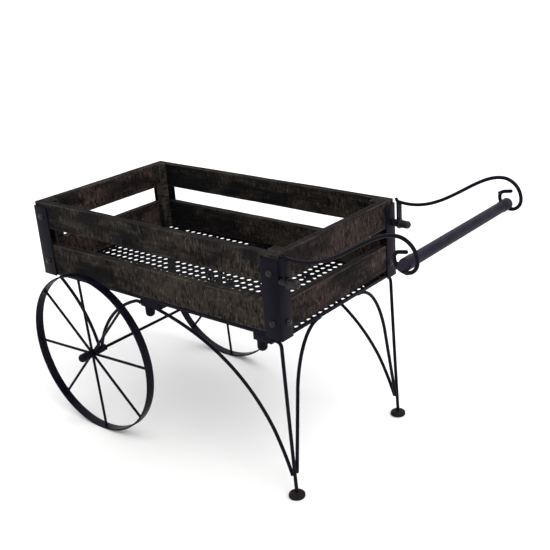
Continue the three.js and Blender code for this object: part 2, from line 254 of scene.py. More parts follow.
def dusty_rubber(name):
    """Worn dark rubber with dust in drifts and a fine grit."""
    material, tree, shader = new_material(name)
    place = object_coordinates(tree)
    clouds = texture_noise(tree, place, 60.0, 5.0, 0.65)
    grit = texture_noise(tree, place, 900.0, 2.0, 0.6)
    colour = mixed(tree, ramp(tree, clouds, 0.4, 0.75), (0.0045, 0.0034, 0.0036), (0.024, 0.0175, 0.0165))
    tree.links.new(colour, shader.inputs["Base Color"])
    tree.links.new(ramp(tree, clouds, 0.3, 0.7, 0.68, 0.92), shader.inputs["Roughness"])
    shader.inputs["Specular IOR Level"].default_value = 0.12
    add_bump(tree, shader, grit, 0.2 * MM, 0.6)
    return material


side_wood = aged_wood("side_wood", (0.0038, 0.0036, 0.0040), (0.026, 0.0205, 0.0165), (0.086, 0.072, 0.059))
end_wood = aged_wood("end_wood", (0.0062, 0.0048, 0.0052), (0.032, 0.0205, 0.0188), (0.094, 0.072, 0.065))
post_wood = aged_wood("post_wood", (0.0058, 0.0052, 0.0050), (0.030, 0.025, 0.021), (0.084, 0.073, 0.062))
iron = painted_iron("black_iron", (0.0020, 0.0017, 0.0046), (0.0050, 0.0042, 0.0096), 0.42)
sheet_iron = painted_iron("floor_steel", (0.0024, 0.0022, 0.0036), (0.0048, 0.0043, 0.0058), 0.60, 1.6)
grip_iron = painted_iron("grip_paint", (0.0088, 0.0074, 0.0145), (0.0200, 0.0168, 0.0275), 0.46)
bolt_iron = painted_iron("bolt_iron", (0.0030, 0.0026, 0.0036), (0.0110, 0.0092, 0.0092), 0.28, 1.0, 0.20)
foot_rubber = dusty_rubber("foot_rubber")


# ---- mesh helpers


def add_piece(node, mesh, material, sharp_angle=38):
    """The mesh becomes the piece that stands for this CAD node and moves with its body."""
    mesh.materials.append(material)
    mesh.shade_smooth()
    mesh.set_sharp_from_angle(angle=math.radians(sharp_angle))
    piece = bpy.data.objects.new(f"{node}_finish", mesh)
    bpy.context.scene.collection.objects.link(piece)
    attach(piece, frame["nodes"][node]["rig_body"])
    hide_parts(node)
    return piece


def add_metal_piece(node, shape, material=None, sharp_angle=38):
    bmesh.ops.recalc_face_normals(shape, faces=shape.faces)
    mesh = bpy.data.meshes.new(f"{node}_finish")
    shape.to_mesh(mesh)
    shape.free()
    return add_piece(node, mesh, material or iron, sharp_angle)


def bezier(points, steps):
    """Points on a Bezier curve of any degree."""
    found = []
    for i in range(steps + 1):
        t = i / steps
        level = [Vector(p) for p in points]
        while len(level) > 1:
            level = [a.lerp(b, t) for a, b in zip(level, level[1:])]
        found.append(level[0])
    return found


def arc(centre_x, centre_z, radius, start, end, steps):
    """Points on an arc between two angles in degrees, in a plane of x and z."""
    angles = [math.radians(start + (end - start) * i / steps) for i in range(steps + 1)]
    return [Vector((centre_x + radius * math.cos(a), centre_z + radius * math.sin(a))) for a in angles]


def joined_path(*stretches):
    """One path from several that meet end to end."""
    path = list(stretches[0])
    for stretch in stretches[1:]:
        path.extend(stretch[1:])
    return path


def bridge(shape, ring, following):
    count = len(ring)
    for i in range(count):
        shape.faces.new((ring[i], ring[(i + 1) % count], following[(i + 1) % count], following[i]))


def add_rod(shape, path, radius, sides=16, seed=0.0, unevenness=0.018):
    """A forged round rod under a thick coat of paint, with softly rounded ends."""
    path = [Vector(p) for p in path]
    radius += PAINT_BUILD
    count = len(path)
    tangents = []
    for i in range(count):
        tangents.append((path[min(i + 1, count - 1)] - path[max(i - 1, 0)]).normalized())
    side = Vector((0, 1, 0)) if abs(tangents[0].y) < 0.9 else Vector((1, 0, 0))
    side = (side - tangents[0] * side.dot(tangents[0])).normalized()
    cap = ((0.55, 0.38), (0.48, 0.70), (0.30, 0.90))
    stations = [(path[0] - tangents[0] * radius * out, tangents[0], scale) for out, scale in cap]
    stations += [(p, t, 1.0) for p, t in zip(path, tangents)]
    stations += [(path[-1] + tangents[-1] * radius * out, tangents[-1], s) for out, s in reversed(cap)]
    rings = []
    for place, tangent, scale in stations:
        side = (side - tangent * side.dot(tangent)).normalized()
        across = tangent.cross(side)
        ring = []
        for k in range(sides):
            angle = 2 * math.pi * k / sides
            direction = side * math.cos(angle) + across * math.sin(angle)
            lump = noise.noise((place + direction * radius) * 45 + Vector((seed, 0, 0)))
            reach = radius * scale * (1 - unevenness + unevenness * lump)
            ring.append(shape.verts.new(place + direction * reach))
        rings.append(ring)
    for ring, following in zip(rings, rings[1:]):
        bridge(shape, ring, following)
    shape.faces.new(rings[0])
    shape.faces.new(rings[-1])


def rounded(profile, fillet):
    """The same outline with each inner corner eased by a short curve."""
    points = [Vector(p) for p in profile]
    eased = [points[0]]
    for before, corner, after in zip(points, points[1:], points[2:]):
        inward = before - corner
        outward = after - corner
        start = corner + inward.normalized() * min(fillet, 0.45 * inward.length)
        end = corner + outward.normalized() * min(fillet, 0.45 * outward.length)
        eased.extend(bezier((start, corner, end), 3))
    eased.append(points[-1])
    return eased


def add_turned(shape, profile, start, axis, sides=32):
    """A turned body: a profile of (radius, distance) pairs about an axis that leaves start."""
    axis = Vector(axis).normalized()
    side = axis.orthogonal().normalized()
    across = axis.cross(side)
    rings = []
    for radius, distance in profile:
        centre = Vector(start) + axis * distance
        if radius < 1e-6:
            rings.append([shape.verts.new(centre)])
            continue
        ring = []
        for k in range(sides):
            angle = 2 * math.pi * k / sides
            direction = side * math.cos(angle) + across * math.sin(angle)
            ring.append(shape.verts.new(centre + direction * radius))
        rings.append(ring)
    for ring, following in zip(rings, rings[1:]):
        if len(ring) > 1 and len(following) > 1:
            bridge(shape, ring, following)
            continue
        pole, fan = (ring[0], following) if len(ring) == 1 else (following[0], ring)
        for k in range(sides):
            shape.faces.new((pole, fan[k], fan[(k + 1) % sides]))


def ease_edges(shape, faces, size, segments=2):
    """Rounds the sharp edges of these faces."""
    edges = dict.fromkeys(edge for face in faces for edge in face.edges)
    sharp = [e for e in edges if len(e.link_faces) == 2 and e.calc_face_angle(0) > 0.5]
    bmesh.ops.bevel(
        shape,
        geom=sharp,
        offset=size,
        segments=segments,
        profile=0.5,
        affect="EDGES",
        clamp_overlap=True,
    )


def faces_at(verts):
    """Every face that has one of these corners, each once and in a fixed order."""
    return list(dict.fromkeys(face for vert in verts for face in vert.link_faces))


def add_block(shape, low, high, edge):
    low, high = Vector(low), Vector(high)
    place = Matrix.Translation((low + high) / 2) @ Matrix.Diagonal((*(high - low), 1))
    made = bmesh.ops.create_cube(shape, size=1, matrix=place)
    ease_edges(shape, faces_at(made["verts"]), edge)


def add_prism(shape, outline, bottom, top, edge, segments=2):
    """An upright prism over an outline in x and y."""
    low = [shape.verts.new((x, y, bottom)) for x, y in outline]
    high = [shape.verts.new((x, y, top)) for x, y in outline]
    count = len(outline)
    faces = [shape.faces.new(low), shape.faces.new(high)]
    for i in range(count):
        n = (i + 1) % count
        faces.append(shape.faces.new((low[i], low[n], high[n], high[i])))
    bmesh.ops.recalc_face_normals(shape, faces=faces)
    ease_edges(shape, faces, edge, segments)


def add_bead(shape, centre, radius, seed, squash=(1, 1, 1)):
    """A small uneven lump of weld."""
    centre = Vector(centre)
    made = bmesh.ops.create_icosphere(shape, subdivisions=2, radius=1.0)
    for vert in made["verts"]:
        direction = vert.co.normalized()
        lump = 1 + 0.22 * noise.noise(direction * 1.7 + Vector((seed, seed, 0)))
        vert.co = centre + Vector(d * s for d, s in zip(direction * radius * lump, squash))


def dome_line(radius, height, length):
    """The quarter curve of a dome's side, up to its pole at this length."""
    steps = 8
    line = []
    for i in range(steps + 1):
        angle = math.pi / 2 * i / steps
        line.append(Vector((radius * math.cos(angle), length - height + height * math.sin(angle))))
    line[-1].x = 0
    return line


def dome_profile(radius, length, flange_radius, flange, neck=0.0):
    """A domed nut on a thin flange, from its seat outwards."""
    flange_line = [(0, 0), (flange_radius, 0), (flange_radius, flange), (radius, flange + neck)]
    profile = rounded(flange_line + [(radius, length * 0.5)], 0.5 * MM)
    return profile + dome_line(radius, radius * 0.85, length)


def middle_and_size(node):
    """Middle and size of a CAD node's box."""
    low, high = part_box(node)
    return (low + high) / 2, high - low


# ---- boards


def edge_lines(length, step):
    """Places along one side of a board: close together near its two edges, even between them."""
    fine = [0, 0.5 * MM, 1.1 * MM, 1.8 * MM, 2.7 * MM, 4.0 * MM]
    inner = length - 2 * fine[-1]
    count = max(1, round(inner / step))
    middle = [fine[-1] + inner * (i + 1) / count for i in range(count - 1)]
    return fine + middle + [length - f for f in reversed(fine)]


def board_faces(counts):
    """The surface of a lattice of points, as indices (i, j, k), six sides of quads."""
    quads = []
    for axis in range(3):
        u, v = [a for a in range(3) if a != axis]
        for end in (0, counts[axis] - 1):
            for i in range(counts[u] - 1):
                for j in range(counts[v] - 1):
                    quad = []
                    for di, dj in ((0, 0), (1, 0), (1, 1), (0, 1)):
                        key = [end, end, end]
                        key[u] = i + di
                        key[v] = j + dj
                        quad.append(tuple(key))
                    quads.append(quad)
    return quads


# How far apart the chips in a board's edges are, and how much painted shade darkens its upper edge.
CHIP_SPACING = 90 * MM
TOP_PAINTED_SHADE = 0.13
BOARD_STEPS = (5 * MM, 4 * MM, 4 * MM)


def board_damage(luck, sizes):
    """Chipped places along the board's edges, and knots on its faces."""
    chips = []
    for _ in range(max(2, round(sizes[0] / CHIP_SPACING))):
        edge = (luck.choice((0, 1)), luck.choice((0, 1)))
        place = luck.uniform(0, sizes[0])
        width = luck.uniform(4, 15) * MM
        depth = luck.uniform(0.6, 2.4) * MM
        chips.append((place, width, depth, edge))
    knots = []
    for _ in range(luck.randint(1, 3)):
        along = luck.uniform(0.1, 0.9) * sizes[0]
        across = luck.uniform(0.15, 0.85) * max(sizes[1:])
        knots.append((along, across, luck.uniform(4, 9) * MM))
    return chips, knots


def eased_point(p, centre, sizes, chips, ragged):
    """A point of the square board, brought in to its rounded and chipped edge."""
    ease = (1.3 + 1.1 * max(0.0, ragged)) * MM
    for place, width, depth, edge in chips:
        if (centre[1] > 0, centre[2] > 0) == edge:
            ease += depth * math.exp(-(((p.x - place) / width) ** 2))
    ease = min(ease, 0.3 * min(sizes))
    core = Vector(min(max(p[i], ease), sizes[i] - ease) for i in range(3))
    offset = p - core
    if sum(abs(v) > 1e-7 for v in offset) > 1:
        p = core + offset.normalized() * max(abs(v) for v in offset)
    return p


def dented_point(p, centre, sizes, nearest, shift):
    """The point with the board's slow cup and its small dents, all of them inwards."""
    wide = 1 if sizes[1] >= sizes[2] else 2
    sway = noise.noise(Vector((p.x * 9, 0.0, 0.0)) + shift)
    p[wide] += (0.7 * MM * sway - 0.7 * MM) * centre[wide] / sizes[wide] * 2
    dent = noise.noise(Vector((p.x * 30, p.y * 70, p.z * 70)) + shift)
    for i in (1, 2):
        depth = min(p[i], sizes[i] - p[i])
        if depth == nearest or depth < 1e-4:
            p[i] -= math.copysign(0.35 * MM * (0.5 + 0.5 * dent), centre[i])
    return p


def knot_shadow(p, sizes, knots):
    """How dark the knots make the board here, from 0 to 1."""
    wide = 1 if sizes[1] >= sizes[2] else 2
    dark = 0.0
    for along, across, size in knots:
        away = math.hypot((p.x - along) * 0.7, p[wide] - across)
        dark = max(dark, math.exp(-((away / size) ** 2)))
    return dark


def add_board(node, long_axis, material, seed, painted_shades=(0.0, 0.0), bottom=None):
    """A worn board in the place of a CAD one: eased and chipped edges, slow dents, knots.

    The two shades are painted light and shade: they make the stain paler or darker towards each end of the
    board.
    """
    low, high = (v.copy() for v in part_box(node))
    if bottom is not None:
        low.z = bottom
    axes = [long_axis] + [a for a in range(3) if a != long_axis]
    sizes = [high[a] - low[a] for a in axes]
    luck = random.Random(seed)
    shift = Vector((luck.uniform(0, 9), luck.uniform(0, 9), luck.uniform(0, 9)))
    chips, knots = board_damage(luck, sizes)

    lines = [edge_lines(size, step) for size, step in zip(sizes, BOARD_STEPS)]
    quads = board_faces([len(line) for line in lines])
    verts, coords = [], []
    looks = {"wear": [], "knot": [], "painted_shade": []}
    index = {}
    for key in (key for quad in quads for key in quad):
        if key in index:
            continue
        index[key] = len(verts)
        p = Vector(line[k] for line, k in zip(lines, key))
        centre = [p[i] - sizes[i] / 2 for i in range(3)]
        ragged = noise.noise(Vector((p.x * 26, centre[1] * 40, centre[2] * 40)) + shift)
        p = eased_point(p, centre, sizes, chips, ragged)
        nearness = sorted(min(p[i], sizes[i] - p[i]) for i in range(3))
        wear = max(0.0, 1 - nearness[1] / (3.2 * MM * (1 + 0.7 * ragged)))
        p = dented_point(p, centre, sizes, nearness[0], shift)
        point = Vector((0, 0, 0))
        for i, axis in enumerate(axes):
            point[axis] = low[axis] + p[i]
        verts.append(point)
        coords.extend(p + shift)
        # Painted shade: the top three millimetres of the board are darker.
        painted_top_shade = TOP_PAINTED_SHADE * max(0.0, 1 - (high.z - point.z) / (3 * MM))
        looks["wear"].append(min(1.0, wear))
        looks["knot"].append(knot_shadow(p, sizes, knots))
        # The shades paint light and shade along the board.
        looks["painted_shade"].append(painted_shades[0] + (painted_shades[1] - painted_shades[0]) * p.x / sizes[0] - painted_top_shade)

    mesh = bpy.data.meshes.new(f"{node}_finish")
    mesh.from_pydata(verts, [], [[index[key] for key in quad] for quad in quads])
    mesh.attributes.new("board", "FLOAT_VECTOR", "POINT").data.foreach_set("vector", coords)
    for name, values in looks.items():
        mesh.attributes.new(name, "FLOAT", "POINT").data.foreach_set("value", values)
    faces_out(mesh)
    add_piece(node, mesh, material, 50)


def faces_out(mesh):
    """Turns every face of a closed mesh outwards."""
    shape = bmesh.new()
    shape.from_mesh(mesh)
    bmesh.ops.recalc_face_normals(shape, faces=shape.faces)
    shape.to_mesh(mesh)
    shape.free()


def make_boards():
    seed = 11
    for level in LEVELS:
        # Painted light and shade along each board: the lower side boards are much paler towards their rear
        # end.
        side_painted_shades = (-0.05, 0.22) if level == "lower" else (-0.05, 0.04)
        for side, _ in SIDES:
            add_board(f"side_plank_{level}_{side}", 0, side_wood, seed, side_painted_shades)
            seed += 1
        for end, _ in ENDS:
            add_board(f"end_plank_{level}_{end}", 1, end_wood, seed, (0.02, 0.0))
            seed += 1
    post_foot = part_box("floor_mesh")[1].z + 0.2 * MM
    for end, _ in ENDS:
        for side, _ in SIDES:
            add_board(f"corner_post_{end}_{side}", 2, post_wood, seed, (-0.02, 0.02), post_foot)
            seed += 1


# ---- crate iron


def make_corner_irons():
    """An upright angle iron round each corner of the crate."""
    wall = 2.5 * MM
    for end, sx in ENDS:
        for side, sy in SIDES:
            node = f"corner_iron_{end}_{side}"
            low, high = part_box(node)
            x0, x1 = (low.x, high.x) if sx < 0 else (high.x, low.x)
            y0, y1 = (low.y, high.y) if sy < 0 else (high.y, low.y)
            outline = [(x0, y0), (x1, y0), (x1, y0 - sy * wall)]
            outline += [(x0 - sx * wall, y0 - sy * wall), (x0 - sx * wall, y1), (x0, y1)]
            shape = bmesh.new()
            add_prism(shape, outline, low.z, high.z, 0.7 * MM, 3)
            add_metal_piece(node, shape)


def make_floor_frame():
    """A ring of small angle iron, mitred at its corners."""
    low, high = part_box("floor_frame")
    wall = 2.5 * MM
    flange = 13 * MM
    section = [(0, low.z), (0, high.z), (wall, high.z), (wall, low.z + wall)]
    section += [(flange, low.z + wall), (flange, low.z)]
    shape = bmesh.new()
    corners = ((-1, -1), (1, -1), (1, 1), (-1, 1))
    rings = []
    for sx, sy in corners:
        x = low.x if sx < 0 else high.x
        y = low.y if sy < 0 else high.y
        rings.append([shape.verts.new((x - sx * inset, y - sy * inset, z)) for inset, z in section])
    for ring, following in zip(rings, rings[1:] + rings[:1]):
        bridge(shape, ring, following)
    bmesh.ops.recalc_face_normals(shape, faces=shape.faces)
    ease_edges(shape, list(shape.faces), 0.5 * MM)
    for number, (sx, sy) in enumerate(corners):
        x = (low.x + high.x) / 2 + sx * (high.x - low.x - flange) / 2
        y = (low.y + high.y) / 2 + sy * (high.y - low.y - flange) / 2
        for k in range(5):
            step = (k - 2) * 4.2 * MM
            spot = (x + sx * step, y + sy * step, low.z + 0.6 * MM)
            add_bead(shape, spot, 2.3 * MM, number + k, (1, 1, 0.5))
    add_metal_piece("floor_frame", shape)


SHEET_PITCH = (22.5 * MM, 21.9 * MM)
SHEET_HOLE = 5.8 * MM
HOLE_LIP = 0.25 * MM
HOLE_MARGIN = SHEET_HOLE + 2.5 * MM
CELL_SIDE_POINTS = 6


def hole_centres(first, pitch, start, end):
    """Places in one row of holes that keep clear of both ends of the sheet."""
    count = math.ceil((start + HOLE_MARGIN - first) / pitch)
    found = []
    while first + count * pitch < end - HOLE_MARGIN:
        found.append(first + count * pitch)
        count += 1
    return found


def cell_lines(places, start, end):
    """The sheet's two ends, and the lines half way between neighbouring holes."""
    return [start] + [(a + b) / 2 for a, b in zip(places, places[1:])] + [end]


def shared_vertices():
    """A list of points, and a function that finds or adds a point and gives its index."""
    verts, known = [], {}

    def vertex(x, y, z):
        key = (round(x, 7), round(y, 7), round(z, 7))
        if key not in known:
            known[key] = len(verts)
            verts.append((x, y, z))
        return known[key]

    return verts, vertex


def cell_outline(x0, x1, y0, y1):
    corners = ((x0, y0), (x1, y0), (x1, y1), (x0, y1))
    around = []
    for (ax, ay), (bx, by) in zip(corners, corners[1:] + corners[:1]):
        for k in range(CELL_SIDE_POINTS):
            t = k / CELL_SIDE_POINTS
            around.append((ax + (bx - ax) * t, ay + (by - ay) * t))
    return around


def punched_cell(vertex, around, cx, cy, bottom, top):
    """Both faces of the sheet round one hole, the hole's eased rims and its wall."""
    faces, throats = [], []
    count = len(around)
    for z, out in ((bottom, -1), (top, 1)):
        flat = [vertex(x, y, z) for x, y in around]
        rim, throat = [], []
        for x, y in around:
            away = math.hypot(x - cx, y - cy)
            ux, uy = (x - cx) / away, (y - cy) / away
            wide = SHEET_HOLE + HOLE_LIP
            rim.append(vertex(cx + ux * wide, cy + uy * wide, z))
            throat.append(vertex(cx + ux * SHEET_HOLE, cy + uy * SHEET_HOLE, z - out * HOLE_LIP))
        for k in range(count):
            n = (k + 1) % count
            faces.append((flat[k], flat[n], rim[n], rim[k]))
            faces.append((rim[k], rim[n], throat[n], throat[k]))
        throats.append(throat)
    low, high = throats
    for k in range(count):
        n = (k + 1) % count
        faces.append((low[k], low[n], high[n], high[k]))
    return faces


def sheet_edge(vertex, marks, along_x, fixed, bottom, top):
    """The sheet's cut edge on one side, split where its cells are split."""
    faces = []
    for a, b in zip(marks, marks[1:]):
        for k in range(CELL_SIDE_POINTS):
            ends = [a + (b - a) * (k + n) / CELL_SIDE_POINTS for n in (0, 1)]
            (ax, ay), (bx, by) = [(e, fixed) if along_x else (fixed, e) for e in ends]
            near = (vertex(ax, ay, bottom), vertex(bx, by, bottom))
            faces.append((*near, vertex(bx, by, top), vertex(ax, ay, top)))
    return faces


def make_floor_sheet():
    """A thin sheet with punched round holes in a square grid."""
    low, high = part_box("floor_mesh")
    columns = hole_centres(CRATE_X + 2.5 * MM, SHEET_PITCH[0], low.x, high.x)
    rows = hole_centres(-1.9 * MM, SHEET_PITCH[1], low.y, high.y)
    lines_x = cell_lines(columns, low.x, high.x)
    lines_y = cell_lines(rows, low.y, high.y)
    verts, vertex = shared_vertices()
    faces = []
    for i, cx in enumerate(columns):
        for j, cy in enumerate(rows):
            around = cell_outline(lines_x[i], lines_x[i + 1], lines_y[j], lines_y[j + 1])
            faces += punched_cell(vertex, around, cx, cy, low.z, high.z)
    for y in (low.y, high.y):
        faces += sheet_edge(vertex, lines_x, True, y, low.z, high.z)
    for x in (low.x, high.x):
        faces += sheet_edge(vertex, lines_y, False, x, low.z, high.z)
    mesh = bpy.data.meshes.new("floor_mesh_finish")
    mesh.from_pydata(verts, [], faces)
    faces_out(mesh)
    add_piece("floor_mesh", mesh, sheet_iron, 30)


BOLT_SPREAD = 1.12


def make_bolts():
    """Domed, slightly uneven bolt heads, a little wider than the CAD's under their paint."""
    seed = 0
    for name in sorted(frame["nodes"]):
        if not name.startswith("bolt_"):
            continue
        middle, size = middle_and_size(name)
        thin = min(range(3), key=lambda a: size[a])
        axis = Vector((0, 0, 0))
        axis[thin] = math.copysign(1, middle[thin] - (CRATE_X if thin == 0 else 0))
        seat = middle - axis * size[thin] / 2
        height = size[thin]
        radius = BOLT_SPREAD * max(size) / 2
        profile = [(0, 0), (radius, 0), (radius, 0.9 * MM), (radius * 0.90, 1.2 * MM)]
        profile += [(radius * 0.86, height * 0.42), (radius * 0.70, height * 0.74)]
        profile += [(radius * 0.40, height * 0.95), (0, height)]
        shape = bmesh.new()
        add_turned(shape, rounded(profile, 0.7 * MM), seat, axis, 24)
        for vert in shape.verts:
            lump = noise.noise(vert.co * 260 + Vector((seed, 0, 0)))
            vert.co += (vert.co - middle).normalized() * 0.12 * MM * lump
        add_metal_piece(name, shape, bolt_iron)
        seed += 3


# ---- wheels and axle


wheel_middle = {side: middle_and_size(f"wheel_rim_{side}")[0] for side, _ in SIDES}
wheel_size = middle_and_size("wheel_rim_left")[1]
WHEEL_RADIUS = wheel_size.z / 2
SPOKE_TURN = 3
SPOKES = 8


def make_wheel_rim(side, seed):
    """A flat iron band, rolled and welded shut at one place."""
    node = f"wheel_rim_{side}"
    centre = wheel_middle[side]
    half = wheel_size.y / 2 + PAINT_BUILD
    thick = 4 * MM
    fillet = 1.0 * MM
    # The outline goes past its own start, so that its ends can be cut off the rounded one.
    outline = [(0, -half), (thick, -half), (thick, half), (0, half), (0, -half), (thick, -half)]
    section = rounded(outline, fillet)[4:-1]
    around = 144
    seam = 203
    shape = bmesh.new()
    rings = []
    for i in range(around):
        angle = 360 * i / around
        gap = abs((angle - seam + 180) % 360 - 180)
        proud = 0.7 * MM * math.exp(-((gap / 1.1) ** 2))
        radians = math.radians(angle)
        direction = Vector((math.cos(radians), 0, math.sin(radians)))
        ring = []
        for inset, offset in section:
            wave = noise.noise(direction * 6 + Vector((seed, offset * 90, 0)))
            out = WHEEL_RADIUS - inset - 0.25 * MM * (0.5 + 0.5 * wave)
            out += -proud if inset < thick / 2 else -2 * proud
            ring.append(shape.verts.new(centre + direction * out + Vector((0, offset * 0.985, 0))))
        rings.append(ring)
    for ring, following in zip(rings, rings[1:] + rings[:1]):
        bridge(shape, ring, following)
    add_metal_piece(node, shape)


def make_wheel_spokes(side, seed):
    """Eight round spokes welded to a hub tube with a collar at each end."""
    node = f"wheel_spokes_{side}"
    centre = wheel_middle[side]
    low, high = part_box(node)
    bore, hub, collar = 4.4 * MM, 9.2 * MM, 10.0 * MM
    length = high.y - low.y
    profile = [(bore, length / 2), (bore, 0), (collar, 0), (collar, 4 * MM), (hub, 5 * MM)]
    profile += [(hub, length - 5 * MM), (collar, length - 4 * MM), (collar, length)]
    profile += [(bore, length), (bore, length / 2)]
    shape = bmesh.new()
    add_turned(shape, rounded(profile, 0.6 * MM), (centre.x, low.y, centre.z), (0, 1, 0), 36)
    for i in range(SPOKES):
        angle = math.radians(SPOKE_TURN + 360 / SPOKES * i)
        direction = Vector((math.cos(angle), 0, math.sin(angle)))
        inner = centre + direction * (hub - 1.5 * MM)
        outer = centre + direction * (WHEEL_RADIUS - 4.6 * MM)
        bow = Vector((0, 0.5 * MM * math.sin(i * 2.4 + seed), 0))
        path = [inner.lerp(outer, t / 12) + bow * math.sin(math.pi * t / 12) for t in range(13)]
        add_rod(shape, path, 3.0 * MM, 14, seed + i)
        across = Vector((-math.sin(angle), 0, math.cos(angle)))
        for k in range(3):
            turn = 2 * math.pi * k / 3 + i
            ring = across * math.cos(turn) + Vector((0, math.sin(turn), 0))
            spot = centre + direction * (hub + 0.4 * MM) + ring * 2.4 * MM
            add_bead(shape, spot, 1.5 * MM, seed + i + k)
            spot = centre + direction * (WHEEL_RADIUS - 4.9 * MM) + ring * 2.6 * MM
            add_bead(shape, spot, 1.5 * MM, seed + 9 + i + k)
    add_metal_piece(node, shape)


# The inner faces of the axle's washers, on each side, from the middle of the cart.
AXLE_WASHERS = (210.2 * MM, 204.4 * MM)


def make_axle():
    """A round bar, without the build-up of paint because the wheels turn on it, and its washers."""
    low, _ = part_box("axle")
    middle, size = middle_and_size("axle")
    radius = size.z / 2
    end = 1.5 * MM
    steps = 40
    shape = bmesh.new()
    path = []
    for i in range(steps + 1):
        path.append((middle.x, low.y + end + (size.y - 2 * end) * i / steps, middle.z))
    add_rod(shape, path, radius - PAINT_BUILD, 20, 4.0, 0.01)
    inner, outer, thick = radius - 0.3 * MM, 8.5 * MM, 1.6 * MM
    washer = [(inner, 0), (outer, 0), (outer, thick), (inner, thick), (inner, 0)]
    for sy in (-1, 1):
        for place in AXLE_WASHERS:
            start = (middle.x, sy * place, middle.z)
            add_turned(shape, rounded(washer, 0.3 * MM), start, (0, sy, 0), 28)
    add_metal_piece("axle", shape)


def make_axle_nut(side, sy):
    """A cap nut over the axle's end, with a flange and a raised band."""
    node = f"axle_nut_{side}"
    middle, size = middle_and_size(node)
    seat = Vector((middle.x, middle.y - sy * size.y / 2, middle.z))
    radius = size.z / 2
    shape = bmesh.new()
    profile = dome_profile(radius * 0.90, size.y, radius, 2.2 * MM, 0.4 * MM)
    add_turned(shape, profile, seat, (0, sy, 0), 36)
    band_start = seat + Vector((0, sy * size.y * 0.42, 0))
    inner, outer = radius * 0.88, radius * 0.93
    band = [(inner, 0), (outer, 0.5 * MM), (outer, 1.6 * MM), (inner, 2.1 * MM), (inner, 0)]
    add_turned(shape, band, band_start, (0, sy, 0), 36)
    add_metal_piece(node, shape)


# ---- undercarriage


# Names that end in _MM are in millimetres from the crate's middle and the ground.
FIT_MM = 0.3
ROD_MM = 3.75
ROD = ROD_MM * MM
AXLE_Z = wheel_middle["left"].z
WHEEL_X = wheel_middle["left"].x
HUB_MM = AXLE_Z / MM
WHEEL_MM = (WHEEL_X - CRATE_X) / MM
HANGER_Y_MM = 218
FRAME_BOTTOM_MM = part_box("floor_frame")[0].z / MM
UNDER_FRAME_MM = FRAME_BOTTOM_MM - FIT_MM - ROD_MM
BRACKET_TOP_MM = FRAME_BOTTOM_MM - FIT_MM
BRACKET_BOTTOM_MM = 377
BRACKET_OUTER_MM = 220
BRACKET_MIDDLE_MM = (BRACKET_BOTTOM_MM + FRAME_BOTTOM_MM) / 2
BRACE_CLEAR_MM = 2 * ROD_MM + 0.6


def crate_point(x, y, z):
    """A point laid out in millimetres from the middle of the crate."""
    return Vector((CRATE_X + x * MM, y * MM, z * MM))


def add_folded_bracket(shape, front, rear, inner, sy):
    """A shallow box folded from flat bar, open on the side that faces the middle of the cart."""
    wall = 3 * MM
    near, far = sorted((sy * inner, sy * BRACKET_OUTER_MM))
    low = crate_point(front, near, BRACKET_BOTTOM_MM)
    high = crate_point(rear, far, BRACKET_TOP_MM)
    place = Matrix.Translation((low + high) / 2) @ Matrix.Diagonal((*(high - low), 1))
    made = bmesh.ops.create_cube(shape, size=1, matrix=place)
    open_side = [face for face in faces_at(made["verts"]) if face.normal.y * sy < -0.9]
    bmesh.ops.inset_individual(shape, faces=open_side, thickness=wall, use_even_offset=True)
    pushed = bmesh.ops.extrude_discrete_faces(shape, faces=open_side)["faces"]
    verts = list(dict.fromkeys(vert for face in pushed for vert in face.verts))
    bmesh.ops.translate(shape, verts=verts, vec=(0, sy * (high.y - low.y - wall), 0))
    ease_edges(shape, faces_at(made["verts"] + verts), 0.9 * MM)


def make_hanger(side, sy, seed):
    """A bracket under the frame, a rod that curves down from it, and the axle's sleeve."""
    y = HANGER_Y_MM * sy
    low_end = (WHEEL_MM + 5, HUB_MM + 6)
    bend = (-66, BRACKET_MIDDLE_MM - 3)
    level = (-52, BRACKET_MIDDLE_MM)
    path = joined_path(
        bezier((low_end, (WHEEL_MM + 14, 262), (-165, 345), bend), 34),
        bezier((bend, (-60, BRACKET_MIDDLE_MM), level), 6),
        bezier((level, (-40, BRACKET_MIDDLE_MM)), 3),
    )
    shape = bmesh.new()
    add_rod(shape, [crate_point(p.x, y, p.y) for p in path], ROD, 16, seed)
    add_folded_bracket(shape, -42, 20, 165, sy)
    bore, outer, length = 4.4 * MM, 9 * MM, 17 * MM
    sleeve = [(bore, 8 * MM), (bore, 0), (outer, 0), (outer, length), (bore, length), (bore, 8 * MM)]
    sleeve_start = Vector((WHEEL_X, sy * 212 * MM, AXLE_Z))
    add_turned(shape, rounded(sleeve, 0.7 * MM), sleeve_start, (0, sy, 0), 32)
    for k in range(4):
        side_step = k - 1.5
        spot = crate_point(-43, y + side_step * 2.6, BRACKET_MIDDLE_MM - 2 + (k % 2) * 4)
        add_bead(shape, spot, 2.2 * MM, seed + k)
        spot = crate_point(WHEEL_MM + 4 - k, y + side_step * 3, HUB_MM + 9.5)
        add_bead(shape, spot, 2.4 * MM, seed + 5 + k)
    add_metal_piece(f"axle_hanger_{side}", shape)


def make_stay(side, sy, seed):
    """From the front of the frame, curving back and down to the axle's sleeve."""
    top_end = (-344, UNDER_FRAME_MM)
    low_end = (WHEEL_MM - 7, HUB_MM + 10)
    path = bezier((top_end, (-296, 350), (-256, 310), low_end), 30)
    shape = bmesh.new()
    add_rod(shape, [crate_point(p.x, HANGER_Y_MM * sy, p.y) for p in path], ROD, 16, seed)
    for k in range(3):
        y = (HANGER_Y_MM - 2 + 2 * k) * sy
        spot = crate_point(top_end[0] + 4 * k, y, UNDER_FRAME_MM + 2.2 - 2 * k)
        add_bead(shape, spot, 2.3 * MM, seed + k)
        spot = crate_point(low_end[0] + k, y, HUB_MM + 9)
        add_bead(shape, spot, 2.2 * MM, seed + 7 + k)
    add_metal_piece(f"axle_stay_{side}", shape)


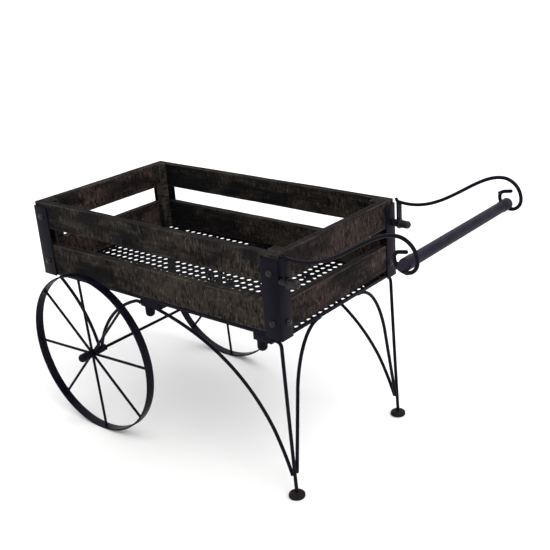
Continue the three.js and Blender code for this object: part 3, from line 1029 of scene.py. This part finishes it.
def make_hanging_nut(node):
    """A domed nut that points down under a bracket."""
    middle, size = middle_and_size(node)
    seat = Vector((middle.x, middle.y, middle.z + size.z / 2))
    shape = bmesh.new()
    radius = size.x / 2
    profile = dome_profile(radius * 0.885, size.z, radius, 2.0 * MM, 0.5 * MM)
    add_turned(shape, profile, seat, (0, 0, -1), 36)
    add_metal_piece(node, shape)


LEG_TOP = (389, 215, 371)
FOOT = (403, 214.5)
FOOT_HEIGHT = 11


def leg_x(z):
    """Where the leg's own line runs at a height, in millimetres from the crate's middle."""
    drop = LEG_TOP[2] - FOOT_HEIGHT
    return LEG_TOP[0] + (FOOT[0] - LEG_TOP[0]) * (LEG_TOP[2] - z) / drop


def make_leg(side, sy, seed):
    """A short bracket, and a rod that leaves its end, turns down and runs to the foot."""
    shape = bmesh.new()
    front, rear, bend = 314, 366, 14
    add_folded_bracket(shape, front, rear, 188, sy)
    top = BRACKET_MIDDLE_MM
    corner = (leg_x(top), top)
    path = joined_path(
        bezier(((rear - 1.5, top), (LEG_TOP[0] - bend, top)), 3),
        bezier(((LEG_TOP[0] - bend, top), corner, (LEG_TOP[0], LEG_TOP[2])), 10),
        bezier(((LEG_TOP[0], LEG_TOP[2]), (FOOT[0] - 7.8, 190), (FOOT[0], FOOT_HEIGHT + 2)), 30),
    )
    route = [crate_point(p.x, sy * (LEG_TOP[1] + FOOT[1]) / 2, p.y) for p in path]
    add_rod(shape, route, ROD, 16, seed)
    for k in range(6):
        turn = 2 * math.pi * k / 6
        y = sy * LEG_TOP[1] + 3.6 * math.cos(turn)
        spot = crate_point(rear + 0.6, y, top + 3.6 * math.sin(turn))
        add_bead(shape, spot, 2.0 * MM, seed + k)
    add_metal_piece(f"leg_{side}", shape)


def make_foot(side):
    """A thick round foot pad with a rolled upper edge and a small boss round the rod."""
    node = f"foot_{side}"
    middle, size = middle_and_size(node)
    radius, height = size.x / 2, size.z
    profile = [(0, 0), (radius - 1.2 * MM, 0), (radius, 1.4 * MM), (radius, height - 3.5 * MM)]
    profile += [(radius - 3.0 * MM, height - 0.8 * MM), (7.5 * MM, height - 0.9 * MM)]
    profile += [(6.6 * MM, height), (0, height)]
    shape = bmesh.new()
    base = Vector((middle.x, middle.y, middle.z - size.z / 2))
    add_turned(shape, rounded(profile, 1.1 * MM), base, (0, 0, 1), 48)
    add_metal_piece(node, shape, foot_rubber)


def make_end_brace(side, sy, seed):
    """From under the end rail, bending down to the leg's foot."""
    top = UNDER_FRAME_MM
    path = joined_path(
        bezier(((75, top), (125, 392), (160, 335), (175, 262)), 26),
        bezier(((175, 262), (FOOT[1] - BRACE_CLEAR_MM + FIT_MM, 60)), 16),
    )
    shape = bmesh.new()
    add_rod(shape, [crate_point(leg_x(p.y), sy * p.x, p.y) for p in path], ROD, 16, seed)
    for k in range(3):
        spot = crate_point(leg_x(top), sy * (75 + 4 * k), top + 3.0 - k)
        add_bead(shape, spot, 2.3 * MM, seed + k)
        spot = crate_point(leg_x(62 + 5 * k), sy * (FOOT[1] - 4.2), 62 + 5 * k)
        add_bead(shape, spot, 2.2 * MM, seed + 4 + k, (1, 0.8, 1.3))
    add_metal_piece(f"end_brace_{side}", shape)


def make_side_brace(side, sy, seed):
    """From under the hanger bracket, sweeping down to the leg's foot."""
    start_z = BRACKET_BOTTOM_MM - FIT_MM - ROD_MM
    path = joined_path(
        bezier(((-8, start_z), (150, 346), (272, 284), (348, 158)), 40),
        bezier(((348, 158), (374, 110), (leg_x(54) - BRACE_CLEAR_MM, 54)), 16),
    )
    shape = bmesh.new()
    route = [crate_point(p.x, sy * (206 + 8 * (p.x + 8) / 400), p.y) for p in path]
    add_rod(shape, route, ROD, 16, seed)
    for k in range(3):
        add_bead(shape, route[0] + Vector((4 * k * MM, 0, (3.2 - k) * MM)), 2.3 * MM, seed + k)
        spot = crate_point(leg_x(56 + 5 * k) - 4.2, sy * FOOT[1], 56 + 5 * k)
        add_bead(shape, spot, 2.2 * MM, seed + 4 + k, (0.8, 1, 1.3))
    add_metal_piece(f"side_brace_{side}", shape)


# ---- push handle


ARM_Y = 214
# The eye of each scroll, which the grip tube lies in.
EYE_X, EYE_Z, EYE_RADIUS = 703, 634, 26


def make_handle_arm(side, sy, seed):
    """A rod that rises in a slow S and rolls up into a scroll, welded to a drilled strap."""
    node = f"handle_arm_{side}"
    path = joined_path(
        bezier(((410, 590), (412, 583), (419, 583)), 8),
        bezier(((419, 583), (535, 566), (612, 676), (683, 676)), 44),
        arc(683, 632, 44, 90, 0, 20),
        arc(703, 632, 24, 0, -90, 14),
        arc(EYE_X, EYE_Z, EYE_RADIUS, -90, -180, 14),
        arc(689, 634, 12, 180, 100, 8),
        (Vector((686.9, 645.8)), Vector((704, 648.8))),
    )
    shape = bmesh.new()
    add_rod(shape, [crate_point(p.x, ARM_Y * sy, p.y) for p in path], 3.5 * MM, 18, seed)
    add_strap(shape, sy)
    for k in range(7):
        spot = crate_point(415.5 + (k % 2) * 4.5, ARM_Y * sy + (k - 3) * 2.2, 582.0)
        add_bead(shape, spot, 1.9 * MM, seed + k)
    add_metal_piece(node, shape)


def add_strap(shape, sy):
    """A flat bar with rounded ends and a bolt hole, standing upright."""
    front, rear = 416, 419
    half, top, bottom, bolt = 10, 583, 515, 529
    hole, shoulder = 4.4, 13
    around = 32
    outer, inner = [], []
    for k in range(around):
        angle = 2 * math.pi * (k + 0.5) / around
        u, v = math.cos(angle), math.sin(angle)
        reach = min(half / abs(u), shoulder / v if v > 0 else half + 2)
        outer.append((reach * u, max(bolt + reach * v, bottom)))
        inner.append((hole * u, bolt + hole * v))
    rings = []
    for x, line in ((front, outer), (rear, outer), (rear, inner), (front, inner)):
        rings.append([shape.verts.new(crate_point(x, ARM_Y * sy + u, z)) for u, z in line])
    earlier = set(shape.faces)
    for ring, following in zip(rings, rings[1:] + rings[:1]):
        bridge(shape, ring, following)
    fresh = [face for face in shape.faces if face not in earlier]
    bmesh.ops.recalc_face_normals(shape, faces=fresh)
    ease_edges(shape, fresh, 0.5 * MM)
    low = crate_point(front, ARM_Y * sy - half, bolt + shoulder - 0.5)
    high = crate_point(rear, ARM_Y * sy + half, top)
    add_block(shape, low, high, 0.5 * MM)


def make_handle_bolt(side):
    """Spacer against the corner iron, washer and domed nut outside the strap."""
    node = f"handle_bolt_{side}"
    low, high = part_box(node)
    centre_y, centre_z = (low.y + high.y) / 2, (low.z + high.z) / 2
    shape = bmesh.new()
    length = high.x - low.x
    spacer, waist, neck, washer, nut = 9 * MM, 7.6 * MM, 4 * MM, 12 * MM, 9.5 * MM
    strap_front = 15.4 * MM
    strap_rear = strap_front + 3.6 * MM
    line = [(0, 0), (spacer, 0), (spacer, strap_front * 0.45), (waist, strap_front * 0.5)]
    line += [(spacer, strap_front * 0.55), (spacer, strap_front), (neck, strap_front)]
    line += [(neck, strap_rear), (washer, strap_rear), (washer, strap_rear + 2.2 * MM)]
    line += [(nut, strap_rear + 2.6 * MM), (nut, length - 12 * MM)]
    profile = rounded(line, 0.5 * MM) + dome_line(nut, 8.5 * MM, length)
    add_turned(shape, profile, (low.x, centre_y, centre_z), (1, 0, 0), 36)
    add_metal_piece(node, shape, bolt_iron)


def add_grip_weld(shape, middle, half_length, sy):
    """The tube's end hammered down on the scroll's rod and welded round it in lumps."""
    start = Vector((middle.x, sy * (half_length - 2 * MM), middle.z))
    stub = [(0, 0), (12 * MM, 0), (11.6 * MM, 4 * MM), (10.2 * MM, 8 * MM)]
    stub += [(8.2 * MM, 11 * MM), (0, 12 * MM)]
    known = set(shape.verts)
    add_turned(shape, rounded(stub, 1.5 * MM), start, (0, sy, 0), 32)
    for vert in set(shape.verts) - known:
        lump = noise.noise(vert.co * 150) * 1.3 + noise.noise(vert.co * 420) * 0.5
        vert.co += (vert.co - start).normalized() * lump * MM
        vert.co.x -= 0.28 * abs(vert.co.y - start.y)
        vert.co.z -= 0.16 * abs(vert.co.y - start.y)
    for k in range(9):
        angle = math.radians(-70 - 16 * k)
        x = EYE_X + EYE_RADIUS * math.cos(angle)
        z = EYE_Z + EYE_RADIUS * math.sin(angle)
        y = half_length / MM + 3.5 + 2.5 * math.sin(k * 2.1)
        spot = crate_point(x, sy * y, z)
        add_bead(shape, spot, (3.6 + 0.9 * math.sin(k * 1.7)) * MM, k + 3 * sy)


def make_grip():
    """A straight tube with a ferrule on each end and slightly dished end caps."""
    node = "handle_grip"
    middle, size = middle_and_size(node)
    low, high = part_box(node)
    length = size.y
    tube, ferrule, cuff = 12 * MM, 13 * MM, 28 * MM
    profile = [(0, 1.2 * MM), (ferrule * 0.72, 1.2 * MM), (ferrule * 0.8, 0)]
    profile += [(ferrule, 0), (ferrule, cuff), (tube, cuff + 1 * MM)]
    steps = 24
    stretch = length - 2 * cuff - 2 * MM
    for i in range(1, steps):
        profile.append((tube, cuff + 1 * MM + stretch * i / steps))
    mirrored = [(r, length - d) for r, d in reversed(profile[:6])]
    shape = bmesh.new()
    outline = rounded(profile + mirrored, 0.6 * MM)
    add_turned(shape, outline, (middle.x, low.y, middle.z), (0, 1, 0), 48)
    for sy in (-1, 1):
        add_grip_weld(shape, middle, high.y, sy)
    add_metal_piece(node, shape, grip_iron)


# ---- the whole cart


def make_cart():
    make_boards()
    make_corner_irons()
    make_floor_frame()
    make_floor_sheet()
    make_bolts()
    make_axle()
    make_grip()
    for number, (side, sy) in enumerate(SIDES):
        seed = 20.0 * number + 1
        make_wheel_rim(side, seed)
        make_wheel_spokes(side, seed)
        make_axle_nut(side, sy)
        make_hanger(side, sy, seed + 2)
        make_stay(side, sy, seed + 3)
        make_hanging_nut(f"hanger_nut_{side}")
        make_leg(side, sy, seed + 4)
        make_hanging_nut(f"leg_nut_{side}")
        make_foot(side)
        make_end_brace(side, sy, seed + 5)
        make_side_brace(side, sy, seed + 6)
        make_handle_arm(side, sy, seed + 7)
        make_handle_bolt(side)


# ---- camera, floor and light


def place_camera():
    """A camera off the rear left corner, looking down at the cart, with a small sideways shift."""
    azimuth, elevation, roll = (math.radians(v) for v in (38.604, 22.132, 3.315))
    data = bpy.data.cameras.new("camera")
    data.sensor_width = 36
    data.lens = 59.47
    data.shift_x = -0.0628
    data.shift_y = 0.0098
    data.clip_end = 100
    camera = bpy.data.objects.new("camera", data)
    heading = Matrix.Rotation(azimuth, 4, "Z")
    tilt = Matrix.Rotation(math.radians(90) - elevation, 4, "X")
    lean = Matrix.Rotation(-roll, 4, "Z")
    camera.matrix_world = Matrix.Translation((1.3812, -1.5336, 1.2329)) @ heading @ tilt @ lean
    bpy.context.scene.collection.objects.link(camera)
    bpy.context.scene.camera = camera


def add_soft_sun(name, towards, power, colour):
    """Even light from one direction, spread wide enough that its shadows are soft."""
    data = bpy.data.lights.new(name, "SUN")
    data.angle = math.radians(50)
    data.energy = power
    data.color = colour
    light = bpy.data.objects.new(name, data)
    light.rotation_euler = Vector(towards).to_track_quat("Z", "Y").to_euler()
    bpy.context.scene.collection.objects.link(light)


def make_studio():
    """A pale floor under a white sky, with soft light from three sides."""
    mesh = bpy.data.meshes.new("studio_floor")
    reach = 60
    corners = [(-reach, -reach, 0), (reach, -reach, 0), (reach, reach, 0), (-reach, reach, 0)]
    mesh.from_pydata(corners, [], [(0, 1, 2, 3)])
    material, _, shader = new_material("pale_floor")
    shader.inputs["Base Color"].default_value = (0.80, 0.80, 0.80, 1)
    shader.inputs["Roughness"].default_value = 1.0
    shader.inputs["Specular IOR Level"].default_value = 0.0
    mesh.materials.append(material)
    ground = bpy.data.objects.new("studio_floor", mesh)
    bpy.context.scene.collection.objects.link(ground)
    ground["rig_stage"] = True

    world = bpy.data.worlds.new("studio")
    world.use_nodes = True
    backdrop = world.node_tree.nodes["Background"]
    backdrop.inputs["Color"].default_value = (1.0, 1.0, 1.0, 1)
    backdrop.inputs["Strength"].default_value = 1.0
    bpy.context.scene.world = world
    bpy.context.scene.view_settings.view_transform = "Standard"

    add_soft_sun("key_light", (0.85, -0.20, 1.1), 2.0, (1.0, 0.99, 0.97))
    add_soft_sun("left_light", (-0.2, -1.0, 0.8), 0.12, (0.95, 0.97, 1.0))
    add_soft_sun("back_light", (-0.3, 0.8, 1.0), 0.75, (0.95, 0.96, 1.0))


place_camera()
make_cart()
make_studio()

visual_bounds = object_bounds()
for corner in (*cad_bounds, *visual_bounds):
    json.dumps([round(v, 5) for v in corner]) + "\n"
